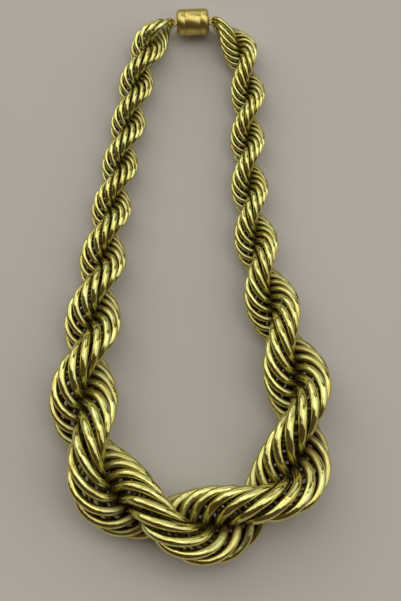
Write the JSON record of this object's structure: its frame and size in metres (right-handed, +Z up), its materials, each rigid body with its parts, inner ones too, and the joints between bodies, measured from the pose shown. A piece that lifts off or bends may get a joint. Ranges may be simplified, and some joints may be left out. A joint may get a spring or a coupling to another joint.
{
  "type": "twisted rope-chain necklace",
  "caption": "Graduated rope-chain necklace of interlocking round gold links, each turned a little further than the last so that they make twisted strands, lying as a closed loop with a plain barrel clasp.",
  "frame": {"origin": "on the surface that the necklace lies on, under the middle of its outline", "axes": "+Z up, +Y from the wide front towards the clasp at the back, +X across the loop, to the right of the picture"},
  "size_m": [0.0952, 0.2059, 0.0251],
  "materials": {
    "rope_gold": "polished yellow gold wire",
    "clasp_gold": "polished yellow gold, lightly brushed"
  },
  "bodies": {
    "root": {"rope_left": "rope_gold", "rope_right": "rope_gold", "clasp": "clasp_gold"}
  },
  "joints": []
}
